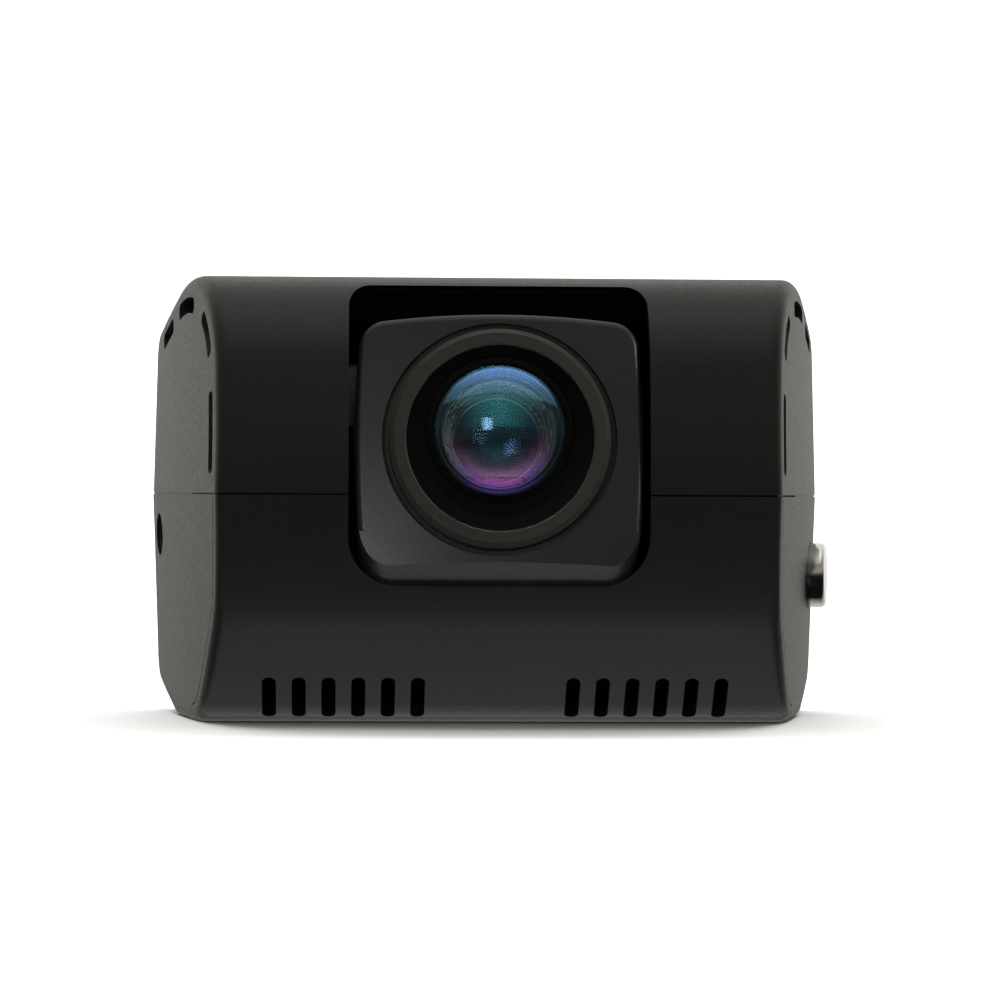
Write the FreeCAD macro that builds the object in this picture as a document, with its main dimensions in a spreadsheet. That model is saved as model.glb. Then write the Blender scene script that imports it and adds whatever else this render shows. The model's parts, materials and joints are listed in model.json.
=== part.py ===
import FreeCAD, Part
import math
import os

import Sketcher

# A compact windscreen dash camera. Millimetres; +Z is up and the lens faces -Y.
# The origin is the centre of the flat strip that the camera rests on.

SIZES = {
    "case_depth": 33,
    "case_front": -16,
    "front_width": 51.1,
    "rear_width": 66,
    "cheek_radius": 300,
    "upper_draft": 1.5,
    "lower_draft": 2,
    "seam_height": 21.3,
    "nose_height": 22.4,
    "wall_depth": 1.5,
    "seam_gap": 0.14,
    "upper_edge": 1.4,
    "lower_edge": 1.1,
    "front_radius": 48,
    "front_lean": 13,
    "shoulder_radius": 10.5,
    "shoulder_turn": 61.2,
    "crown_radius": 20,
    "roof_slope": 16,
    "rear_edge": 3,
    "foot_back": 6.5,
    "base_slope": 16.4,
    "window_width": 27.4,
    "window_bottom": 13,
    "window_top": 40.6,
    "window_corner": 4.5,
    "window_top_corner": 2,
    "pivot_back": -5.66,
    "pivot_up": 24.98,
    "rest_tilt": 8,
    "drum_radius": 14.81,
    "drum_gap": 0.38,
    "lip_half": 12.8,
    "lip_corner": 3,
    "block_half": 12.6,
    "block_bow": 0.55,
    "block_top": 10.75,
    "block_arch": 0.85,
    "block_bottom": 11.3,
    "dome_radius": 150,
    "dome_top": 10.1,
    "ring_outer": 20.1,
    "ring_inner": 17,
    "ring_front": 10.9,
    "groove_outer": 21.4,
    "glass_size": 12,
    "glass_rim": 10.1,
    "optic_rise": 0.84,
    "pin_size": 3,
    "pin_play": 0.05,
    "cradle_wall": 1.2,
    "vent_width": 1.3,
    "vent_length": 5.6,
    "vent_pitch": 2.746,
    "vent_centre": 14.04,
    "button_size": 6.3,
    "button_proud": 1.6,
    "button_travel": 0.4,
    "button_back": 11,
    "button_up": 13.55,
    "jack_bore": 2.6,
    "jack_back": 12,
    "jack_up": 17.3,
    "board_back": 8,
    "board_thick": 1.2,
    "screen_width": 32,
    "screen_height": 24.5,
    "screen_side": 7.5,
    "screen_up": 18.3,
    "key_side": -17,
    "key_pitch": 6.2,
    "key_up": 18.3,
    "key_travel": 0.3,
    "card_side": -18,
    "usb_side": 21,
    "rail_width": 22,
    "rail_length": 12,
    "rail_back": 8,
    "rail_up": 39.66,
}

V = FreeCAD.Vector
X_AXIS = V(1, 0, 0)
Y_AXIS = V(0, 1, 0)
Z_AXIS = V(0, 0, 1)

doc = FreeCAD.newDocument("DashCamera")
sheet = doc.addObject("Spreadsheet::Sheet", "Sizes")
for row, (alias, value) in enumerate(SIZES.items(), 1):
    sheet.set(f"A{row}", alias)
    sheet.set(f"B{row}", str(value))
    sheet.setAlias(f"B{row}", alias)
doc.recompute()


def size(expression):
    """The value of an expression made of sheet aliases."""
    return float(sheet.evalExpression(str(expression)))


def bound(expression):
    """The expression with each alias named through the sheet, as a binding needs it."""
    words = str(expression)
    for mark in "+-*/()":
        words = words.replace(mark, f" {mark} ")
    return " ".join(f"Sizes.{w}" if w in SIZES else w for w in words.split())


# ---------------------------------------------------------------- document helpers

parts = []


def keep(item, node):
    """Marks an object as a sub-part and gives it its node name."""
    item.Label = node
    parts.append(item)
    return item


def bind(item, **expressions):
    for name, expression in expressions.items():
        item.setExpression(name, bound(expression))


def put(item, spot, turn=None):
    """Places an object: a spot of three expressions, and a rotation if it is turned."""
    if turn is not None:
        item.Placement = FreeCAD.Placement(V(), turn)
    for letter, expression in zip("xyz", spot):
        item.setExpression(f"Placement.Base.{letter}", bound(expression))
    return item


def box(name, low, extent):
    item = doc.addObject("Part::Box", name)
    bind(item, Length=extent[0], Width=extent[1], Height=extent[2])
    return put(item, low)


def turned_box(name, corner_spot, turn, extent):
    """A box turned about its own low corner, which goes to the given point."""
    item = doc.addObject("Part::Box", name)
    bind(item, Length=extent[0], Width=extent[1], Height=extent[2])
    item.Placement = FreeCAD.Placement(corner_spot, turn)
    return item


def centred_box(name, middle, extent):
    low = [f"{m} - ({e}) / 2" for m, e in zip(middle, extent)]
    return box(name, low, extent)


def cylinder(name, spot, radius, length, direction=Z_AXIS):
    item = doc.addObject("Part::Cylinder", name)
    bind(item, Radius=radius, Height=length)
    return put(item, spot, FreeCAD.Rotation(Z_AXIS, direction))


def fuse(name, *pieces):
    item = doc.addObject("Part::MultiFuse", name)
    item.Shapes = list(pieces)
    return item


def group(name, *pieces):
    item = doc.addObject("Part::Compound", name)
    item.Links = list(pieces)
    return item


def cut(name, base, *tools):
    item = doc.addObject("Part::Cut", name)
    item.Base = base
    item.Tool = tools[0] if len(tools) == 1 else fuse(name + "_tools", *tools)
    return item


def common(name, first, second):
    item = doc.addObject("Part::Common", name)
    item.Base = first
    item.Tool = second
    return item


def mirrored(name, source):
    """The same object on the other side of the plane X = 0."""
    item = doc.addObject("Part::Mirroring", name)
    item.Source = source
    item.Normal = X_AXIS
    return item


def extrude(name, outline, direction, length):
    item = doc.addObject("Part::Extrusion", name)
    item.Base = outline
    item.DirMode = "Custom"
    item.Dir = direction
    item.Solid = True
    bind(item, LengthFwd=length)
    return item


def curve(name, wire):
    item = doc.addObject("Part::Feature", name)
    item.Shape = wire
    return item


def rounded(name, base, radius, wanted):
    """Fillets the edges of an object that a test picks out."""
    doc.recompute()
    item = doc.addObject("Part::Fillet", name)
    item.Base = base
    rim = [i for i, edge in enumerate(base.Shape.Edges, 1) if wanted(edge)]
    item.Edges = [(i, size(radius), size(radius)) for i in rim]
    return item


def outline_sketch(body, role, points):
    """A closed sketch of straight sides whose corners are bound to the sheet."""
    plane = next(f for f in body.Origin.OriginFeatures if f.Role == role)
    sketch = body.newObject("Sketcher::SketchObject", body.Name + "_sketch")
    sketch.AttachmentSupport = [(plane, "")]
    sketch.MapMode = "FlatFace"
    corners = [V(size(a), size(b), 0) for a, b in points]
    count = len(corners)
    for i in range(count):
        sketch.addGeometry(Part.LineSegment(corners[i], corners[(i + 1) % count]))
    for i in range(count):
        sketch.addConstraint(Sketcher.Constraint("Coincident", i, 2, (i + 1) % count, 1))
    for i, pair in enumerate(points):
        for kind, expression, value in zip(("DistanceX", "DistanceY"), pair, corners[i]):
            index = sketch.addConstraint(Sketcher.Constraint(kind, -1, 1, i, 1, value))
            sketch.setExpression(f"Constraints[{index}]", bound(expression))
    return sketch


def lathe(name, points):
    """A turned piece about its own Z axis, from (radius, height) corners."""
    body = doc.addObject("PartDesign::Body", name + "_body")
    sketch = outline_sketch(body, "XZ_Plane", points)
    turned = body.newObject("PartDesign::Revolution", name + "_turned")
    turned.Profile = sketch
    turned.ReferenceAxis = (sketch, ["V_Axis"])
    turned.Angle = 360
    return body


# ---------------------------------------------------------------- the case's outline


def heading_vector(angle):
    return V(0, math.cos(math.radians(angle)), math.sin(math.radians(angle)))


def run_arcs(start, heading, turns):
    """Tangent arcs from a point: each turn is (radius, degrees), positive to the left."""
    edges = []
    for radius, degrees in turns:
        side = 90 if degrees > 0 else -90
        centre = start + heading_vector(heading + side) * radius
        middle = centre - heading_vector(heading + side + degrees / 2) * radius
        end = centre - heading_vector(heading + side + degrees) * radius
        edges.append(Part.Arc(start, middle, end).toShape())
        start = end
        heading += degrees
    return edges, start, heading


def corner(before, point, after, radius):
    """Rounds the corner of two straight runs: the run into it, and its arc."""
    into = (point - before).normalize()
    away = (after - point).normalize()
    reach = radius * math.tan(into.getAngle(away) / 2)
    first = point - into * reach
    last = point + away * reach
    bisector = (away - into).normalize()
    centre = point + bisector * math.hypot(radius, reach)
    middle = centre - bisector * radius
    return [Part.LineSegment(before, first).toShape(), Part.Arc(first, middle, last).toShape()], last


CHIN_ARCS = [(size("front_radius"), 12), (9, 23), (55, 10)]


def case_profile():
    """The side outline: a gentle front, shoulder and crown, a sloped roof and a flat foot."""
    x = -size("rear_width")
    nose = V(x, size("case_front"), size("nose_height"))
    back = size("case_front + case_depth")
    slope = size("roof_slope")
    lean = size("front_lean")
    shoulder = size("shoulder_turn")
    over = [
        (size("front_radius"), -lean),
        (size("shoulder_radius"), -shoulder),
        (size("crown_radius"), lean + shoulder - 90 - slope),
    ]
    upper, crown_end, _ = run_arcs(nose, 90, over)
    lower, curl, heading = run_arcs(nose, -90, CHIN_ARCS)
    toe_turn = -heading
    toe_radius = curl.z / (1 - math.cos(math.radians(toe_turn)))
    toe, foot_front, _ = run_arcs(curl, heading, [(toe_radius, toe_turn)])
    foot_back = V(x, size("foot_back"), 0)
    roof_drop = (back - crown_end.y) * math.tan(math.radians(slope))
    roof_back = V(x, back, crown_end.z - roof_drop)
    rise = (back - foot_back.y) * math.tan(math.radians(size("base_slope")))
    heel = V(x, back, rise)
    roof, back_top = corner(crown_end, roof_back, heel, size("rear_edge"))
    rear, heel_end = corner(back_top, heel, foot_back, size("rear_edge"))
    base = [
        Part.LineSegment(heel_end, foot_back).toShape(),
        Part.LineSegment(foot_back, foot_front).toShape(),
    ]
    edges = upper + roof + rear + base + toe + lower
    return Part.Wire(Part.__sortEdges__(edges))


def cheek_outline(height, inset):
    """The plan at a height: two bowed cheeks that flare to the rear and lean in with draft."""
    rise = height - size("seam_height")
    lean = abs(rise) * math.tan(math.radians(size("upper_draft" if rise > 0 else "lower_draft")))
    front = size("case_front")
    back = size("case_front + case_depth")
    flare = (size("rear_width") - size("front_width")) / 2 / size("case_depth")
    reach = 6
    bow = (size("case_depth") + 2 * reach) ** 2 / 8 / size("cheek_radius")
    sag = size("case_depth") ** 2 / 8 / size("cheek_radius")

    def half(y, bulge):
        return size("front_width") / 2 + (y - front) * flare + bulge - lean - inset

    spots = [
        (half(front - reach, sag - bow), front - reach),
        (half((front + back) / 2, sag), (front + back) / 2),
        (half(back + reach, sag - bow), back + reach),
    ]
    right = [V(x, y, height) for x, y in spots]
    left = [V(-x, y, height) for x, y in spots]
    return Part.Wire([
        Part.Arc(*right).toShape(),
        Part.LineSegment(right[2], left[2]).toShape(),
        Part.Arc(*reversed(left)).toShape(),
        Part.LineSegment(left[0], right[0]).toShape(),
    ])


side_outline = curve("side_outline", case_profile())


def inset_outline(name, inset):
    """The side outline moved inwards."""
    if size(inset) == 0:
        return side_outline
    item = doc.addObject("Part::Offset2D", name + "_outline")
    item.Source = side_outline
    item.setExpression("Value", "-(" + bound(inset) + ")")
    return item


def profile_block(name, inset):
    """The full-width block of the side outline moved inwards."""
    return extrude(name + "_block", inset_outline(name, inset), X_AXIS, "2 * rear_width")


def half_case(name, inset, upward):
    """The case above or below the seam, moved inwards, as one solid."""
    far = size("seam_height") + (24 if upward else -24)
    sections = [
        curve(f"{name}_section_{i}", cheek_outline(height, size(inset) * 1.03))
        for i, height in enumerate((size("seam_height"), far))
    ]
    loft = doc.addObject("Part::Loft", name + "_loft")
    loft.Sections = sections
    loft.Solid = True
    loft.Ruled = True
    return common(name, profile_block(name, inset), loft)


def whole_case(name, inset):
    return fuse(name, half_case(name + "_up", inset, True), half_case(name + "_down", inset, False))


# ---------------------------------------------------------------- shared cutting tools


def capsule(name, width, length, depth):
    """A slot with round ends in its own XY plane, long in Y, reaching depth along Z."""
    half = size(width) / 2
    end = size(length) / 2 - half
    wire = Part.Wire([
        Part.LineSegment(V(half, -end, 0), V(half, end, 0)).toShape(),
        Part.Arc(V(half, end, 0), V(0, end + half, 0), V(-half, end, 0)).toShape(),
        Part.LineSegment(V(-half, end, 0), V(-half, -end, 0)).toShape(),
        Part.Arc(V(-half, -end, 0), V(0, -end - half, 0), V(half, -end, 0)).toShape(),
    ])
    return extrude(name, curve(name + "_wire", wire), Z_AXIS, depth)


def round_rectangle(name, width, low, high, corners):
    """A closed outline in the XZ plane: corners are the bottom and the top radius."""
    half = size(width) / 2
    bottom, top = size(low), size(high)
    radius_low, radius_high = (size(c) for c in corners)
    points = [V(half, 0, bottom), V(half, 0, top), V(-half, 0, top), V(-half, 0, bottom)]
    radii = [radius_low, radius_high, radius_high, radius_low]
    edges = []
    start = V(0, 0, bottom)
    for i, point in enumerate(points):
        after = points[(i + 1) % 4]
        piece, start = corner(start, point, after, radii[i])
        edges += piece
    edges.append(Part.LineSegment(start, V(0, 0, bottom)).toShape())
    return curve(name, Part.Wire(edges))


window_outline = round_rectangle(
    "window_outline", "window_width", "window_bottom", "window_top",
    ("window_corner", "window_top_corner"),
)
window_tool = put(
    extrude("window_tool", window_outline, Y_AXIS, "16"),
    ("0", "case_front - 3", "0"),
)


def round_drum(name, spot, radius, half_length, corner_radius):
    """A drum about the tilt axis with rounded ends."""
    low = (f"-({half_length})", *spot)
    disc = cylinder(name + "_disc", low, radius, f"2 * ({half_length})", X_AXIS)
    return rounded(name, disc, corner_radius, lambda edge: edge.BoundBox.XLength < 0.01)


drum_room = round_drum(
    "drum_room", ("pivot_back", "pivot_up"), "drum_radius + drum_gap", "lip_half + drum_gap",
    "lip_corner + drum_gap",
)
lens_room = common(
    "lens_room", drum_room, box("drum_room_part", ("-20", "-30", "8"), ("40", "40", "13"))
)
inner_room = whole_case("inner_room", "wall_depth")
seam_up = box("seam_up", ("-60", "-60", "seam_height + seam_gap / 2"), ("120", "120", "60"))
seam_down = box("seam_down", ("-60", "-60", "seam_height - 60"), ("120", "120", "60 - seam_gap / 2"))

# The rear panel closes a rectangular opening in the back wall, across the seam.
REAR_PANEL = ("60", "28")
panel_outline = round_rectangle("panel_outline", REAR_PANEL[0], "4.7", "32.7", ("2.5", "2.5"))
rear_opening = put(extrude("rear_opening", panel_outline, Y_AXIS, "8"), ("0", "12", "0"))

# ---------------------------------------------------------------- upper housing


def away_from_seam(edge):
    centre = edge.BoundBox.Center
    flat = edge.BoundBox.ZLength < 0.01 and abs(centre.z - size("seam_height")) < 0.01
    return abs(centre.x) > 20 and not flat


def cheek_slot(name, back, up, length, angle):
    """A slot through both cheeks that follows the case's outline, with rounded ends."""
    turn = FreeCAD.Rotation(X_AXIS, angle)
    low = V(-60, back, up) - turn.multVec(V(0, length / 2, 3))
    window = turned_box(name + "_part", low, turn, ("120", length, "6"))
    band = common(name + "_band", slot_band, window)
    return rounded(name + "_round", band, "0.6", lambda edge: edge.BoundBox.XLength > 100)


slot_band = cut("slot_band", profile_block("slot_outer", "2"), profile_block("slot_inner", "3.5"))
upper_solid = rounded(
    "upper_solid", half_case("upper_block", "0", True), "upper_edge", away_from_seam
)
CHEEK_SLOTS = [
    (-13.2, 26.9, 7.5, 85),
    (-9.5, 35.4, 5.2, 50),
    (-0.9, 39.1, 7.2, -4),
    (8.3, 36.2, 5.9, -19),
]
slots = [cheek_slot(f"cheek_slot_{i}", *spot) for i, spot in enumerate(CHEEK_SLOTS)]
slot_core = whole_case("slot_core", "wall_depth + 3")
slot_cuts = cut("slot_cuts", fuse("slot_bands", *slots), slot_core)

roof_turn = FreeCAD.Rotation(X_AXIS, -size("roof_slope"))


def on_roof(across, along, rise):
    """A point on the sloped roof: along runs to the rear, rise is square to the roof."""
    spot = V(across, size("rail_back"), size("rail_up"))
    return spot + roof_turn.multVec(V(0, along, rise))


def roof_box(name, across, along, rise, extent):
    return turned_box(name, on_roof(across, along, rise), roof_turn, extent)


roof_pocket = roof_box(
    "roof_pocket", -size("rail_width") / 2 - 0.1, -size("rail_length") / 2 - 0.1, -3,
    ("rail_width + 0.2", "rail_length + 0.2", "8"),
)
card_slot_cut = centred_box("card_slot_cut", ("card_side", "6.7", "40"), ("12.2", "1.9", "14"))
usb_cut = centred_box("usb_cut", ("usb_side", "5", "40"), ("8.4", "4.6", "14"))

BOSS_SPOTS = [("17.3", "-7.6"), ("17.3", "0.6")]
CASE_SCREW_SPOT = ("23.5", "0.5")


def both_sides(name, piece):
    return [piece, mirrored(name + "_mirrored", piece)]


upper_bosses = []
for i, (across, back) in enumerate(BOSS_SPOTS):
    post = cylinder(f"cradle_boss_{i}", (across, back, "34"), "2.1", "12")
    upper_bosses += both_sides(f"cradle_boss_{i}", post)
post = cylinder("case_boss", (*CASE_SCREW_SPOT, "seam_height + 0.1"), "2.4", "22")
upper_bosses += both_sides("case_boss", post)
upper_boss_set = common(
    "upper_boss_set", fuse("upper_boss_fuse", *upper_bosses), half_case("boss_limit", "1", True)
)
upper_holes = []
for i, (across, back) in enumerate(BOSS_SPOTS):
    hole = cylinder(f"cradle_hole_{i}", (across, back, "33"), "0.85", "4.6")
    upper_holes += both_sides(f"cradle_hole_{i}", hole)
hole = cylinder("case_hole", (*CASE_SCREW_SPOT, "20"), "0.85", "9")
upper_holes += both_sides("case_hole", hole)

upper_shell = cut("upper_shell", upper_solid, inner_room)
upper_full = fuse("upper_full", upper_shell, upper_boss_set)
lip_room = common(
    "lip_room", whole_case("lip_room_case", "0.7"),
    box("lip_room_part", ("-60", "-60", "20"), ("120", "120", "2.9")),
)
upper_open = cut(
    "upper_open", upper_full, window_tool, rear_opening, slot_cuts, roof_pocket,
    card_slot_cut, usb_cut, lip_room, *upper_holes,
)
keep(common("upper_housing", upper_open, seam_up), "upper_housing")

# ---------------------------------------------------------------- lower housing and front cover

lower_solid = rounded(
    "lower_solid", half_case("lower_block", "0", False), "lower_edge", away_from_seam
)
FOOT_FRONT = "-3.2"
front_zone = box("front_zone", ("-60", "-40", "-5"), ("120", f"40 + {FOOT_FRONT}", "60"))
cover_zone = cut("cover_zone", front_zone, profile_block("cover_back", "wall_depth"))
wide_zone = box("wide_zone", ("-60", "-40", "-5"), ("120", f"40.12 + {FOOT_FRONT}", "60"))
cheek_zone = cut("cheek_zone", wide_zone, profile_block("cheek_front", "wall_depth + 0.12"))

vent_angle = math.degrees(math.atan2(-3.4, 4.4))
vent_turn = FreeCAD.Rotation(X_AXIS, vent_angle)
vent_middle = V(0, -7.9, 2.33)
vents = []
for side in (-1, 1):
    for step in range(6):
        name = f"vent_{'left' if side < 0 else 'right'}_{step}"
        vent = capsule(name, "vent_width", "vent_length", "6")
        across = side * size("vent_centre") + (step - 2.5) * size("vent_pitch")
        sink = vent_turn.multVec(V(0, 0, -3))
        vent.Placement = FreeCAD.Placement(vent_middle + V(across, 0, 0) + sink, vent_turn)
        vents.append(vent)


def seam_lip(name, low, extent):
    """The tongue that stands up from the lower shell behind the upper shell's rim."""
    outer = whole_case(name + "_outer", "0.8")
    ring = cut(name + "_ring", outer, inner_room)
    return common(name, ring, box(name + "_part", low, extent))


cover_lips = [
    seam_lip("cover_lip_right", ("14.6", "-16", "19.5"), ("8.4", "2.5", "3.2")),
    seam_lip("cover_lip_left", ("-23", "-16", "19.5"), ("8.4", "2.5", "3.2")),
]
cover_clips = [
    box("cover_clip_right", ("1.5", "-6.2", "1.55"), ("4", "5.4", "1")),
    box("cover_clip_left", ("-5.5", "-6.2", "1.55"), ("4", "5.4", "1")),
]
cover_skin = common("cover_skin", lower_solid, cover_zone)
cover_shape = cut(
    "cover_shape", common("cover_seam", cover_skin, seam_down), window_tool, lens_room, *vents
)
keep(fuse("lower_front_cover", cover_shape, *cover_lips, *cover_clips), "lower_front_cover")

cheek_shell = cut("cheek_shell", lower_solid, inner_room, cheek_zone)
lower_post = cylinder("lower_post", (*CASE_SCREW_SPOT, "0.2"), "2.4", "seam_height - 0.3")
lower_posts = common(
    "lower_posts", fuse("lower_post_pair", *both_sides("lower_post", lower_post)),
    half_case("post_limit", "1", False),
)
lower_full = fuse(
    "lower_full", common("cheek_seam", cheek_shell, seam_down), lower_posts,
    seam_lip("case_lip", ("-60", "-12.8", "19.5"), ("120", "29", "3.2")),
)
screw_way = cylinder("screw_way", (*CASE_SCREW_SPOT, "-1"), "1.15", "24")
screw_head_way = cylinder("screw_head_way", (*CASE_SCREW_SPOT, "-1"), "1.75", "8")

# The power button sits square to the cheek, which is turned about 10.7 degrees there.
CHEEK_TURN = 10.7
outward = V(math.cos(math.radians(CHEEK_TURN)), -math.sin(math.radians(CHEEK_TURN)), 0)
cheek_spot = V(31.65, size("button_back"), size("button_up"))
jack_outward = V(-outward.x, outward.y, 0)
jack_spot = V(-31.95, size("jack_back"), size("jack_up"))


def along_cheek(name, spot, direction, start, radius, length):
    """A cylinder on a cheek's normal, from start (outwards of the wall's face) for a length."""
    item = doc.addObject("Part::Cylinder", name)
    bind(item, Radius=radius, Height=length)
    turn = FreeCAD.Rotation(Z_AXIS, direction)
    item.Placement = FreeCAD.Placement(spot + direction * start, turn)
    return item


button_way = along_cheek("button_way", cheek_spot, outward, -4, "button_size / 2 + 0.15", "8")
button_seat = along_cheek("button_seat", cheek_spot, outward, -2.1, "button_size / 2 + 1", "1.5")
jack_way = along_cheek("jack_way", jack_spot, jack_outward, -4, "2.05", "8")
lower_open = cut(
    "lower_open", lower_full, rear_opening, button_way, button_seat, jack_way, window_tool,
    *both_sides("screw_way", screw_way), *both_sides("screw_head_way", screw_head_way),
)
keep(lower_open, "lower_housing")

# ---------------------------------------------------------------- rear cover, screen and keys

BACK = "case_front + case_depth"
screen_outline = round_rectangle(
    "screen_outline", "screen_width", "screen_up - screen_height / 2",
    "screen_up + screen_height / 2", ("1", "1"),
)
pane_outline = round_rectangle(
    "pane_outline", "screen_width - 0.1", "screen_up - screen_height / 2 + 0.05",
    "screen_up + screen_height / 2 - 0.05", ("0.95", "0.95"),
)
screen_way = put(extrude("screen_way", screen_outline, Y_AXIS, "8"), ("screen_side", "12", "0"))
small_panel = round_rectangle("small_panel", "59.8", "4.8", "32.6", ("2.4", "2.4"))
panel_slab = put(
    extrude("panel_slab", small_panel, Y_AXIS, "1.5"), ("0", f"{BACK} - 1.5", "0")
)
KEYS = ["menu_button", "up_button", "down_button", "ok_button"]


def key_height(index):
    return f"key_up + (1.5 - {index}) * key_pitch"


key_ways = []
for i, name in enumerate(KEYS):
    middle = ("key_side", "16", key_height(i))
    key_ways.append(centred_box(f"{name}_way", middle, ("5.3", "6", "4.5")))
light_way = cylinder("light_way", ("key_side", "12", "31.2"), "0.75", "8", Y_AXIS)
STANDOFFS = [("26.4", "8.5"), ("26.4", "30.6"), ("-26.4", "8.5"), ("-26.4", "30.6")]
standoffs = []
standoff_holes = []
for i, (across, height) in enumerate(STANDOFFS):
    spot = (across, "board_back + board_thick", height)
    standoffs.append(
        cylinder(f"standoff_{i}", spot, "1.9", f"{BACK} - 1 - board_back - board_thick", Y_AXIS)
    )
    standoff_holes.append(
        cylinder(f"standoff_hole_{i}", (across, "5", height), "0.7", "8", Y_AXIS)
    )
panel_full = fuse("panel_full", panel_slab, *standoffs)
rear_cover = cut(
    "rear_cover", panel_full, screen_way, *key_ways, light_way, *standoff_holes
)
keep(rear_cover, "rear_cover")

keep(
    put(extrude("screen_window", pane_outline, Y_AXIS, "1"), ("screen_side", f"{BACK} - 1", "0")),
    "screen_window",
)
keep(
    centred_box("lcd_module", ("screen_side", "14.35", "screen_up"),
                ("screen_width + 1.5", "2.2", "screen_height + 0.5")),
    "lcd_module",
)

for i, name in enumerate(KEYS):
    middle = ("key_side", f"{BACK} - 0.6", key_height(i))
    cap = centred_box(f"{name}_cap", middle, ("5", "2.2", "4.2"))
    soft_cap = rounded(f"{name}_soft", cap, "0.5", lambda e: e.BoundBox.YMin > 17.4)
    flange_middle = ("key_side", f"{BACK} - 1.8 - key_travel", key_height(i))
    flange = centred_box(f"{name}_flange", flange_middle, ("6.2", "0.8", "5.2"))
    stem_spot = ("key_side", "12.2", key_height(i))
    stem = cylinder(f"{name}_stem", stem_spot, "1", "2.7", Y_AXIS)
    keep(fuse(name, soft_cap, flange, stem), name)

keep(
    cylinder("status_light", ("key_side", "10.4", "31.2"), "0.7", f"{BACK} - 10.3", Y_AXIS),
    "status_light",
)

# ---------------------------------------------------------------- boards and electronics

board_blank = centred_box(
    "board_blank", ("0", "board_back + board_thick / 2", "19.2"), ("55.6", "board_thick", "30.6")
)
board_holes = [
    cylinder(f"board_hole_{i}", (across, "5", height), "0.8", "8", Y_AXIS)
    for i, (across, height) in enumerate(STANDOFFS)
]
keep(cut("main_board", board_blank, *board_holes), "main_board")

CHIPS = [
    ("usb_side - 0.5", "22", "12", "1.4"),
    ("usb_side - 1", "11", "8", "1.2"),
    ("card_side", "13", "6", "1"),
    ("-5", "30.5", "5", "1"),
]
chips = [
    box(f"chip_{i}", (f"{x} - ({w}) / 2", f"board_back - {t}", f"{z} - ({w}) / 2"), (w, t, w))
    for i, (x, z, w, t) in enumerate(CHIPS)
]
keep(group("board_chips", *chips), "board_chips")

sink_plate = centred_box("sink_plate", ("usb_side - 0.5", "6.1", "22"), ("13", "1", "13"))
fins = [
    centred_box(f"fin_{i}", (f"usb_side - 6.5 + {3 * i}", "4.6", "22"), ("0.9", "2.2", "13"))
    for i in range(5)
]
keep(fuse("heat_sink", sink_plate, *fins), "heat_sink")

switches = []
for i, name in enumerate(KEYS):
    middle = ("key_side", "board_back + board_thick + 0.8", key_height(i))
    case = centred_box(f"{name}_switch", middle, ("4.4", "1.6", "4.4"))
    top = cylinder(f"{name}_plunger", ("key_side", "10.7", key_height(i)), "1", "1.1", Y_AXIS)
    switches.append(fuse(f"{name}_switch_whole", case, top))
keep(group("key_switches", *switches), "key_switches")

power_case = centred_box("power_case", ("25.3", "11.2", "button_up"), ("3", "4", "6"))
power_plunger = along_cheek(
    "power_plunger", cheek_spot, outward, -4.55 - size("button_travel"), "1", "0.6"
)
power_arm = along_cheek("power_arm", cheek_spot, outward, -5.6, "1.4", "0.8")
keep(fuse("power_switch", power_case, power_arm, power_plunger), "power_switch")

button_cap = along_cheek(
    "button_cap", cheek_spot, outward, -2, "button_size / 2", "2 + button_proud"
)
button_soft = rounded(
    "button_soft", button_cap, "0.5",
    lambda e: (e.BoundBox.Center - cheek_spot).dot(outward) > 1.5,
)
button_flange = along_cheek(
    "button_flange", cheek_spot, outward, -2.6, "button_size / 2 + 0.6", "0.7"
)
button_stem = along_cheek("button_stem", cheek_spot, outward, -3.9, "1.1", "1.6")
keep(fuse("power_button", button_soft, button_flange, button_stem), "power_button")

jack_sleeve = along_cheek("jack_sleeve", jack_spot, jack_outward, -3, "1.9", "2.7")
jack_case = centred_box("jack_case", ("-25.1", "11.8", "jack_up"), ("8.6", "5", "5"))
jack_hole = along_cheek("jack_hole", jack_spot, jack_outward, -10, "jack_bore / 2", "11")
keep(cut("av_jack", fuse("jack_whole", jack_sleeve, jack_case), jack_hole), "av_jack")

card_case = box("card_case", ("card_side - 7", "5.4", "24.1"), ("14", "2.6", "13.6"))
card_room = box("card_room", ("card_side - 5.8", "6.0", "25.1"), ("11.6", "1.4", "16"))
keep(cut("card_socket", card_case, card_room), "card_socket")
card_blank = box("card_blank", ("card_side - 5.5", "6.2", "25.5"), ("11", "1", "15"))
card_notch = box("card_notch", ("card_side + 4", "5", "24.5"), ("4", "4", "5"))
keep(cut("memory_card", card_blank, card_notch), "memory_card")

usb_case = box("usb_case", ("usb_side - 3.9", "3.1", "30"), ("7.8", "3.9", "9.4"))
usb_room = box("usb_room", ("usb_side - 3.45", "3.5", "31.4"), ("6.9", "3.1", "10"))
usb_tongue = box("usb_tongue", ("usb_side - 2.6", "4.6", "31"), ("5.2", "0.9", "6"))
usb_foot = box("usb_foot", ("usb_side - 3.9", "6.9", "30"), ("7.8", "1.1", "3"))
keep(
    fuse("usb_socket", cut("usb_shell", usb_case, usb_room), usb_tongue, usb_foot), "usb_socket"
)

battery_blank = box("battery_blank", ("-9.5", "-4.5", "2.7"), ("28", "10.5", "4.4"))
keep(
    rounded("battery", battery_blank, "1.2", lambda e: e.BoundBox.XLength > 5 > e.BoundBox.YLength),
    "battery",
)

keep(
    put(lathe("speaker", [("0", "0"), ("4.2", "0"), ("5", "0.8"), ("5", "3"), ("0", "3")]),
        ("-15.2", "-1", "3.4")),
    "speaker",
)
keep(
    cylinder("microphone", ("14", "6.6", "6.5"), "2", "1.4", Y_AXIS),
    "microphone",
)

# ---------------------------------------------------------------- windscreen bracket rail

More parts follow.
